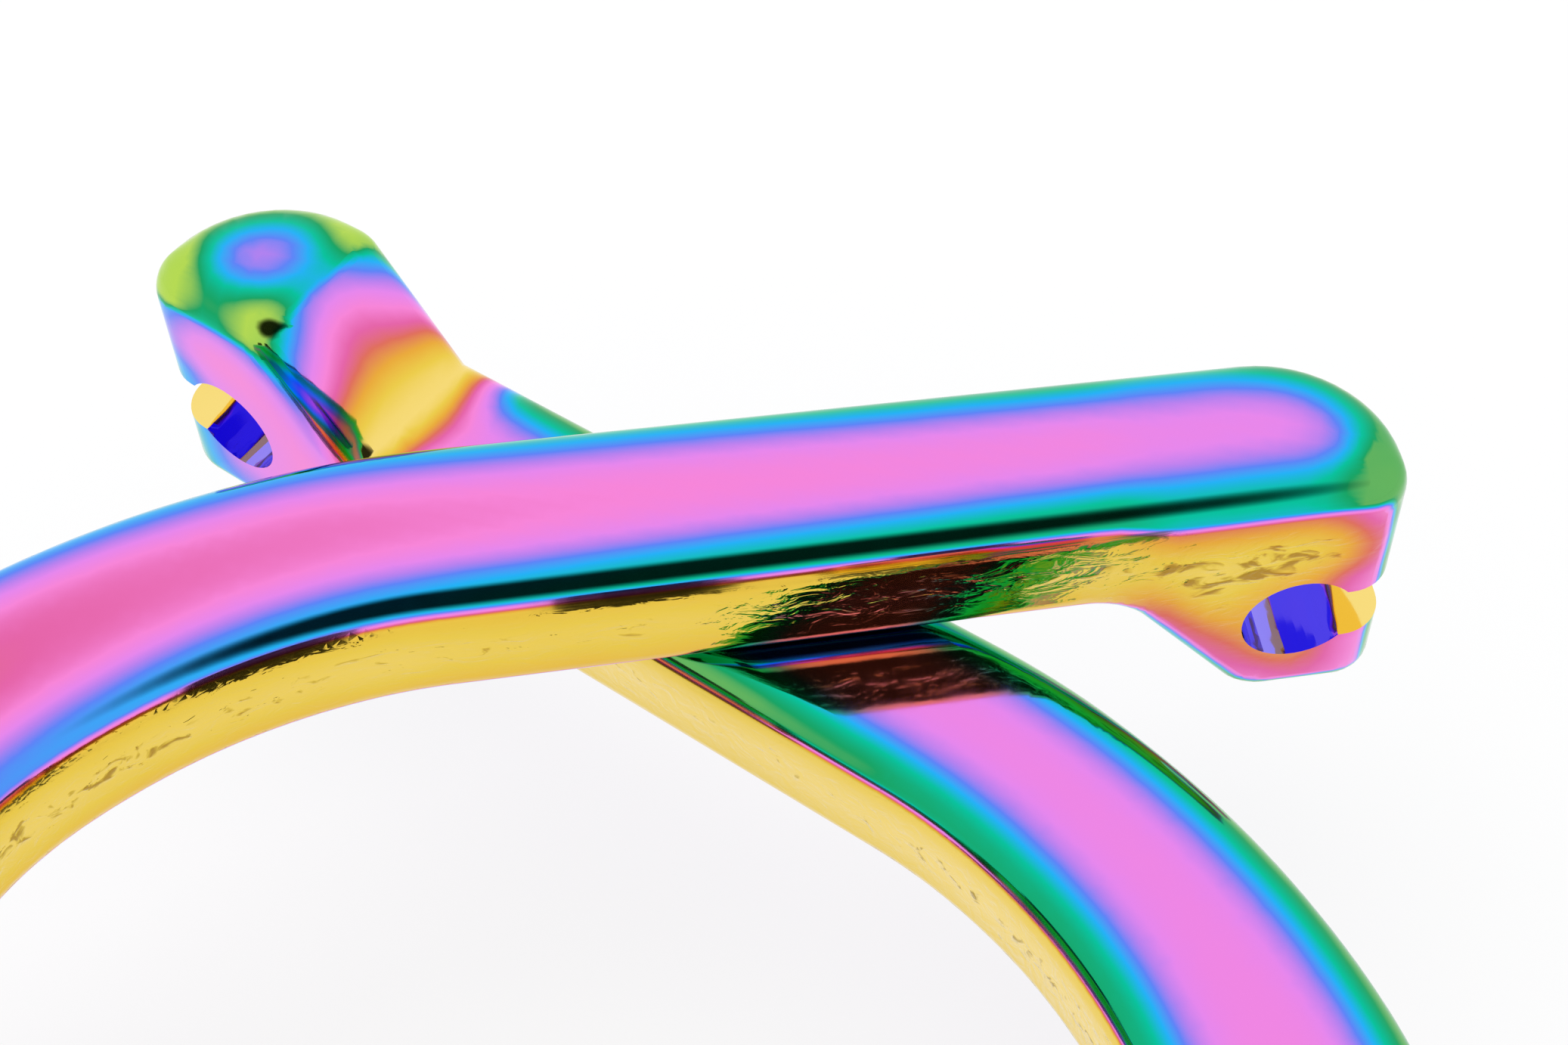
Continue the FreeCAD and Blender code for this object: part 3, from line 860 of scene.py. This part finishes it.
    def front_at(self, past: float, normal: Vector, head: float) -> float:
        """Find the film of the faces that look to the front.

        Args:
            past: How far the point lies past the cable seat.
            normal: Where its surface looks.
            head: How far it belongs to the head.

        Returns:
            The film's thickness away from edges.
        """
        film = self.front_film + self.bend_drift * max(0.0, -past / self.run) ** self.drift_power
        film += head * (self.head_front_film - film)
        tilt = -normal.dot(self.heading)
        slope = self.crease_pull * smooth_step(self.slope_start, self.slope_end, tilt)
        return film + slope * (self.slope_film - film)

    def dress(self, material: bpy.types.Material) -> bpy.types.Object:
        """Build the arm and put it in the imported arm's place.

        Args:
            material: The film finish.

        Returns:
            The arm's object.
        """
        piece = finish_piece(self.build(), self.node() + "_film", material, self.sharp_angle)
        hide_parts(self.node())
        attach(piece, self.node())
        return piece


@dataclass
class Hardware:
    """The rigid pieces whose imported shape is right, each with its finish by material slot."""

    effects: Effects

    def __post_init__(self) -> None:
        """Build the material of every slot."""
        self.made = {slot: finish.material(self.effects) for slot, finish in self.finishes().items()}

    def finishes(self) -> dict[str, SteelFinish]:
        """Finish of every slot.

        Returns:
            Finishes by the record's slot names.
        """
        return {
            "bush": SteelFinish(
                "bearing_plastic", Shade(30, 0.05, 0.20), Shade(30, 0.05, 0.26), 0.5, metallic=0.0),
            "adjuster_steel": SteelFinish(
                "dark_zinc", Shade(220, 0.08, 0.55), Shade(220, 0.05, 0.66), 0.34),
            "spring_steel": SteelFinish(
                "spring_wire", Shade(40, 0.04, 0.74), Shade(40, 0.06, 0.82), 0.24),
            "bolt_steel": SteelFinish(
                "black_oxide", Shade(230, 0.10, 0.26), Shade(30, 0.08, 0.38), 0.36),
            "post_steel": SteelFinish(
                "bright_zinc", Shade(210, 0.04, 0.80), Shade(50, 0.05, 0.86), 0.25),
            "washer_steel": SteelFinish(
                "washer_zinc", Shade(210, 0.04, 0.76), Shade(50, 0.06, 0.84), 0.28),
        }

    def dress(self) -> list[str]:
        """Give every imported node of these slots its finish.

        Returns:
            Names of the nodes that were dressed.
        """
        dressed = []
        for part in frame["record"]["subparts"]:
            if part["material_slot"] in self.made:
                node = frame["nodes"][part["node"]]
                node.data.materials.clear()
                node.data.materials.append(self.made[part["material_slot"]])
                dressed.append(part["node"])
        return dressed


@dataclass
class ReturnSpring:
    """One torsion spring between the adjuster and the arm; the real one twists as the arm swings, and
    this piece is a still copy.
    """

    side: Side
    still_below: float = 5.0 * MM
    turned_above: float = 10.3 * MM
    sharp_angle: float = math.radians(40)

    def node(self) -> str:
        """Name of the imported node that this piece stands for."""
        return self.side.value + "_return_spring"

    def dress(self, material: bpy.types.Material) -> bpy.types.Object:
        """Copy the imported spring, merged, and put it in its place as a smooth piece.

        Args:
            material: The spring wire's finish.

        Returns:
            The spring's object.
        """
        shape = bmesh.new()
        shape.from_mesh(frame["nodes"][self.node()].data)
        bmesh.ops.remove_doubles(shape, verts=shape.verts, dist=MERGE)
        piece = finish_piece(shape, self.node() + "_wire", material, self.sharp_angle)
        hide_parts(self.node())
        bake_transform(piece)
        return piece


@dataclass
class BrakePad:
    """One rubber pad: a slab with round ends, a rounded face and sunk cross grooves."""

    side: Side
    groove_count: int = 4
    groove_width: float = 2.6 * MM
    groove_depth: float = 2.2 * MM
    groove_pitch: float = 10.0 * MM
    groove_rim: float = 0.25 * MM
    groove_draft: float = 0.25 * MM
    face_edge: float = 1.2 * MM
    face_segments: int = 3
    end_segments: int = 10
    end_share: float = 0.49
    sharp_angle: float = math.radians(35)

    def node(self) -> str:
        """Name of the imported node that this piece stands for."""
        return self.side.value + "_pad_rubber"

    def build(self) -> bmesh.types.BMesh:
        """Model the pad along Z with its face towards the rim.

        Returns:
            The pad's shape.
        """
        low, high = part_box(self.node())
        size = high - low
        shape = bmesh.new()
        bmesh.ops.create_grid(shape, x_segments=1, y_segments=1, size=0.5)
        bmesh.ops.scale(shape, vec=(size.z, size.y, 1), verts=shape.verts)
        bmesh.ops.bevel(
            shape, geom=shape.verts[:], offset=size.y * self.end_share, segments=self.end_segments,
            profile=ROUND_PROFILE, affect="VERTICES", material=-1)
        grown = bmesh.ops.extrude_face_region(shape, geom=shape.faces[:])
        face_verts = [item for item in grown["geom"] if isinstance(item, bmesh.types.BMVert)]
        bmesh.ops.translate(shape, vec=(0, 0, size.x), verts=face_verts)
        bmesh.ops.recalc_face_normals(shape, faces=shape.faces)
        rim = [edge for edge in shape.edges if all(vert in face_verts for vert in edge.verts)]
        bmesh.ops.bevel(
            shape, geom=rim, offset=self.face_edge, segments=self.face_segments,
            profile=ROUND_PROFILE, affect="EDGES", material=-1)
        self.sink_grooves(shape, size.x)
        return shape

    def sink_grooves(self, shape: bmesh.types.BMesh, height: float) -> None:
        """Sink the moulded cross grooves into the pad's face.

        Args:
            shape: The pad, with its face up.
            height: Height of that face above the pad's back.
        """
        for number in range(self.groove_count):
            middle = (number - (self.groove_count - 1) / 2) * self.groove_pitch
            for place in (middle - self.groove_width / 2, middle + self.groove_width / 2):
                top = [face for face in shape.faces if face.calc_center_median().z > height - WELD]
                parts = {part for face in top for part in (face, *face.edges, *face.verts)}
                bmesh.ops.bisect_plane(
                    shape, geom=list(parts), dist=WELD, plane_co=(place, 0, 0), plane_no=(1, 0, 0))
        strips = []
        for face in shape.faces:
            along = [vert.co.x for vert in face.verts]
            narrow = max(along) - min(along) < self.groove_width + WELD
            if narrow and face.calc_center_median().z > height - WELD:
                strips.append(face)
        bmesh.ops.inset_region(shape, faces=strips, thickness=self.groove_rim, use_even_offset=True)
        bmesh.ops.inset_region(
            shape, faces=strips, thickness=self.groove_draft, depth=-self.groove_depth,
            use_even_offset=True)

    def dress(self, material: bpy.types.Material) -> bpy.types.Object:
        """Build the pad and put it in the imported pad's place.

        Args:
            material: The rubber finish.

        Returns:
            The pad's object.
        """
        low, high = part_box(self.node())
        shape = self.build()
        facing = 1 if self.side is Side.LEFT else -1
        axes = Matrix(((0, 0, facing, 0), (0, 1, 0, 0), (1, 0, 0, 0), (0, 0, 0, 1)))
        back_x = low.x if facing > 0 else high.x
        place = Matrix.Translation((back_x, (low.y + high.y) / 2, (low.z + high.z) / 2))
        bmesh.ops.transform(shape, matrix=place @ axes, verts=shape.verts)
        bmesh.ops.recalc_face_normals(shape, faces=shape.faces)
        piece = finish_piece(shape, self.node() + "_moulded", material, self.sharp_angle)
        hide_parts(self.node())
        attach(piece, self.side.value + "_arm")
        return piece


def seen_rays(board: Board) -> bpy.types.NodeSocket:
    """Find the rays that show a surface, straight on or in metal and glass.

    Args:
        board: Tree of the floor's material or of the world.

    Returns:
        A socket that is 1 for these rays and 0 for the others.
    """
    rays = board.add("LightPath")
    seen = board.maths("MAXIMUM", rays.outputs["Is Camera Ray"], rays.outputs["Is Glossy Ray"])
    return board.maths("MAXIMUM", seen, rays.outputs["Is Transmission Ray"])


@dataclass
class Studio:
    """Floor, light, surroundings and the camera at the photograph's angle."""

    target: Vector = Vector((4.99, 47.26, 27.5)) * MM
    distance: float = 154.78 * MM
    azimuth: float = 0.2701
    elevation: float = 0.8959
    roll: float = -0.0338
    lens: float = 60.75
    sensor: float = 36.0
    nearest: float = 5 * MM
    floor_size: float = 3.0
    floor_glow: float = 0.8
    floor_roughness: float = 0.9
    floor_patches: float = 3.0
    floor_low: Shade = Shade(0, 0.0, 0.985)
    floor_high: Shade = Shade(0, 0.0, 0.995)
    ambient: float = 0.78
    dark_angle: float = math.radians(24)
    dark_soft: float = math.radians(9)
    dark_level: float = 0.02
    lamp_size: tuple[float, float] = (0.9, 0.7)
    lamp_energy: float = 3.2
    lamp_place: tuple[float, float, float] = (-0.25, 0.35, 0.8)

    def view(self) -> tuple[Vector, Vector, Vector]:
        """Directions of the camera.

        Returns:
            Unit vectors to the right, up and back towards the camera.
        """
        back = Vector((
            math.sin(self.azimuth) * math.cos(self.elevation),
            -math.cos(self.azimuth) * math.cos(self.elevation),
            math.sin(self.elevation),
        ))
        right = (-back).cross(Vector((0, 0, 1))).normalized()
        up = right.cross(-back)
        turned = right * math.cos(self.roll) + up * math.sin(self.roll)
        return turned, back.cross(turned), back

    def place_camera(self) -> None:
        """Add the camera and make it the scene's own."""
        right, up, back = self.view()
        lens = bpy.data.cameras.new("camera")
        lens.lens = self.lens
        lens.sensor_width = self.sensor
        lens.sensor_fit = "HORIZONTAL"
        lens.clip_start = self.nearest
        camera = bpy.data.objects.new("camera", lens)
        axes = Matrix((right, up, back)).transposed().to_4x4()
        camera.matrix_world = Matrix.Translation(self.target + back * self.distance) @ axes
        bpy.context.scene.collection.objects.link(camera)
        bpy.context.scene.camera = camera

    def lay_floor(self) -> None:
        """Add a plain pale floor under the lowest point."""
        plane = bmesh.new()
        bmesh.ops.create_grid(plane, x_segments=1, y_segments=1, size=self.floor_size / 2)
        bmesh.ops.translate(plane, vec=(0, 0, CAD_BOX[0].z), verts=plane.verts)
        mesh = bpy.data.meshes.new("floor")
        plane.to_mesh(mesh)
        plane.free()
        material, board, shader, place = new_material("pale_floor")
        stops = ((0.0, self.floor_low), (1.0, self.floor_high))
        tint = board.ramp(board.noise(place, self.floor_patches), stops)
        board.tree.links.new(tint, shader.inputs["Base Color"])
        shader.inputs["Roughness"].default_value = self.floor_roughness
        shader.inputs["Specular IOR Level"].default_value = 0.0
        bright = board.add("Emission", {"Color": WHITE, "Strength": 1.0})
        share = board.maths("MULTIPLY", seen_rays(board), self.floor_glow)
        mixed = board.add("MixShader", {0: share, 1: shader.outputs[0], 2: bright.outputs[0]})
        board.tree.links.new(mixed.outputs[0], board.tree.nodes["Material Output"].inputs["Surface"])
        mesh.materials.append(material)
        floor = bpy.data.objects.new("floor", mesh)
        bpy.context.scene.collection.objects.link(floor)

    def light_world(self) -> None:
        """White surroundings, with a dark patch round the camera that mirror metal shows."""
        world = bpy.data.worlds.new("studio")
        world.use_nodes = True
        bpy.context.scene.world = world
        board = Board(world.node_tree)
        board.tree.nodes.clear()
        towards = board.add("TexCoord").outputs["Generated"]
        looking = {0: towards, 1: self.view()[2]}
        level = board.add("VectorMath", looking, operation="DOT_PRODUCT").outputs["Value"]
        start = math.cos(self.dark_angle + self.dark_soft)
        end = math.cos(self.dark_angle - self.dark_soft)
        shown_level = board.fade(level, start, end, 1.0, self.dark_level)
        shown = board.add("Background", {"Color": WHITE, "Strength": shown_level})
        soft = board.add("Background", {"Color": WHITE, "Strength": self.ambient})
        mixed = board.add("MixShader", {0: seen_rays(board), 1: soft.outputs[0], 2: shown.outputs[0]})
        board.add("OutputWorld", {"Surface": mixed.outputs[0]})

    def hang_lamp(self) -> None:
        """Add a broad soft lamp above and behind."""
        lamp = bpy.data.lights.new("overhead", "AREA")
        lamp.shape = "RECTANGLE"
        lamp.size, lamp.size_y = self.lamp_size
        lamp.energy = self.lamp_energy
        holder = bpy.data.objects.new("overhead", lamp)
        holder.visible_glossy = False
        holder.location = self.lamp_place
        back = holder.location - self.target
        holder.rotation_euler = back.to_track_quat("Z", "Y").to_euler()
        bpy.context.scene.collection.objects.link(holder)

    def set_up(self) -> None:
        """Build the whole studio."""
        bpy.context.scene.view_settings.view_transform = "Standard"
        self.place_camera()
        self.lay_floor()
        self.light_world()
        self.hang_lamp()


def log_piece(piece: bpy.types.Object) -> None:
    """Log a finished piece with its number of faces."""
    LOG.info("%s: %d faces", piece.name, len(piece.data.polygons))


def main() -> None:
    """Build the pieces in order and report each one."""
    logging.basicConfig(level=logging.INFO, format="%(message)s")
    effects = Effects()
    film = FilmFinish().material(effects)
    left_arm = FilmArm(
        Side.LEFT, front_film=0.50, inner_film=0.06, head_front_film=0.53, head_inner_film=0.07,
        bend_drift=-0.22, front=27.5 * MM, crease_pull=0.0)
    right_arm = FilmArm(
        Side.RIGHT, front_film=0.54, inner_film=0.01, head_front_film=0.58, head_inner_film=0.44,
        bend_drift=-0.05, front=18.5 * MM, crease_pull=1.0)
    for arm in (left_arm, right_arm):
        log_piece(arm.dress(film))
    rubber = RubberFinish().material(effects)
    for side in Side:
        log_piece(BrakePad(side).dress(rubber))
    hardware = Hardware(effects)
    for name in hardware.dress():
        LOG.info("%s: dressed", name)
    for side in Side:
        log_piece(ReturnSpring(side).dress(hardware.made["spring_steel"]))
    Studio().set_up()


if __name__ == "__main__":
    main()
